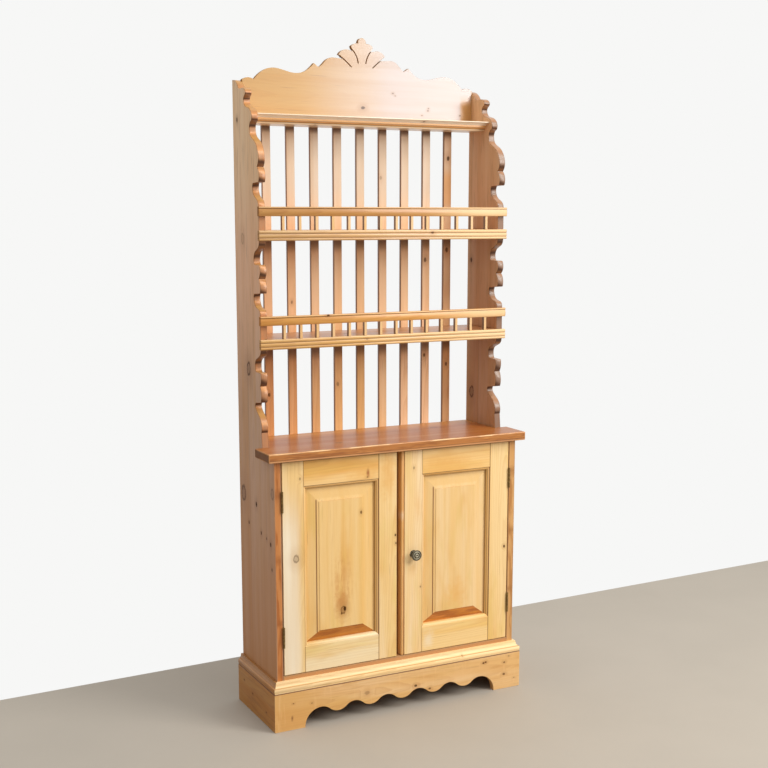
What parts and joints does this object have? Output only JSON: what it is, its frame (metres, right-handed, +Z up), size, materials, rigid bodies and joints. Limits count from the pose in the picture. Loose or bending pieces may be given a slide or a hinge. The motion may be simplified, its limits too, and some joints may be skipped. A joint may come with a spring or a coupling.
{
  "type": "plate rack cupboard",
  "caption": "Tall pine dresser: an open plate rack with scalloped sides, spindle galleries, slatted back and fretted crest over a two-door cupboard on a lobed plinth.",
  "frame": {"origin": "on the floor, at the middle of the overall width and of the overall depth from the knob's front to the back", "axes": "+Z up, -Y to the front where the doors are, +X to the right seen from the front"},
  "size_m": [0.854, 0.3014, 2.008],
  "materials": {
    "side_pine": "waxed satin",
    "top_pine": "waxed gloss",
    "plinth_pine": "waxed satin",
    "door_pine": "waxed satin",
    "rack_pine": "waxed satin",
    "slat_pine": "stripped matt",
    "inner_pine": "stripped matt",
    "bead_pine": "waxed satin",
    "hinge_iron": "aged",
    "bronze": "dark patina",
    "steel": "aged"
  },
  "bodies": {
    "cabinet": {"left_side_panel": "side_pine", "right_side_panel": "side_pine", "worktop": "top_pine", "bottom_board": "top_pine", "centre_post": "inner_pine", "cupboard_shelf": "inner_pine", "shelf_battens": "inner_pine", "back_board_left": "slat_pine", "back_board_right": "slat_pine", "plinth_front": "plinth_pine", "plinth_left": "plinth_pine", "plinth_right": "plinth_pine", "plinth_moulding_front": "plinth_pine", "plinth_moulding_left": "plinth_pine", "plinth_moulding_right": "plinth_pine", "plinth_corner_blocks": "inner_pine", "crest_board": "rack_pine", "top_ledge": "rack_pine", "upper_shelf": "slat_pine", "lower_shelf": "slat_pine", "upper_shelf_moulding": "rack_pine", "lower_shelf_moulding": "rack_pine", "upper_gallery_rail": "rack_pine", "lower_gallery_rail": "rack_pine", "upper_gallery_spindles": "rack_pine", "lower_gallery_spindles": "rack_pine", "hinge_frame_leaves": "hinge_iron", "hinge_frame_screws": "steel", "hinge_pins": "hinge_iron", "back_slat_1": "slat_pine", "back_slat_2": "slat_pine", "back_slat_3": "slat_pine", "back_slat_4": "slat_pine", "back_slat_5": "slat_pine", "back_slat_6": "slat_pine", "back_slat_7": "slat_pine", "back_slat_8": "slat_pine", "back_slat_9": "slat_pine"},
    "left_door": {"left_door_hinge_stile": "door_pine", "left_door_meeting_stile": "door_pine", "left_door_top_rail": "door_pine", "left_door_bottom_rail": "door_pine", "left_door_panel": "door_pine", "left_door_hinge_leaves": "hinge_iron", "left_door_hinge_screws": "steel", "bolt_plate": "steel"},
    "right_door": {"right_door_hinge_stile": "door_pine", "right_door_meeting_stile": "door_pine", "right_door_top_rail": "door_pine", "right_door_bottom_rail": "door_pine", "right_door_panel": "door_pine", "right_door_hinge_leaves": "hinge_iron", "right_door_hinge_screws": "steel", "right_door_bead": "bead_pine", "knob_rose": "bronze"},
    "knob": {"door_knob": "bronze", "latch_tongue": "hinge_iron"},
    "bolt": {"slide_bolt": "steel"}
  },
  "joints": [
    {"name": "left_door_swing", "type": "hinge", "parent": "cabinet", "child": "left_door", "pos_m": [-0.38125, -0.12935, 0.479], "axis": [0, 0, -1], "range_deg": [0, 170]},
    {"name": "right_door_swing", "type": "hinge", "parent": "cabinet", "child": "right_door", "pos_m": [0.38125, -0.12935, 0.479], "axis": [0, 0, 1], "range_deg": [0, 170]},
    {"name": "knob_turn", "type": "hinge", "parent": "right_door", "child": "knob", "pos_m": [0.045, -0.12575, 0.476], "axis": [0, -1, 0], "range_deg": [0, 90]},
    {"name": "bolt_slide", "type": "slide", "parent": "left_door", "child": "bolt", "axis": [0, 0, 1], "range_m": [0, 0.016]}
  ]
}
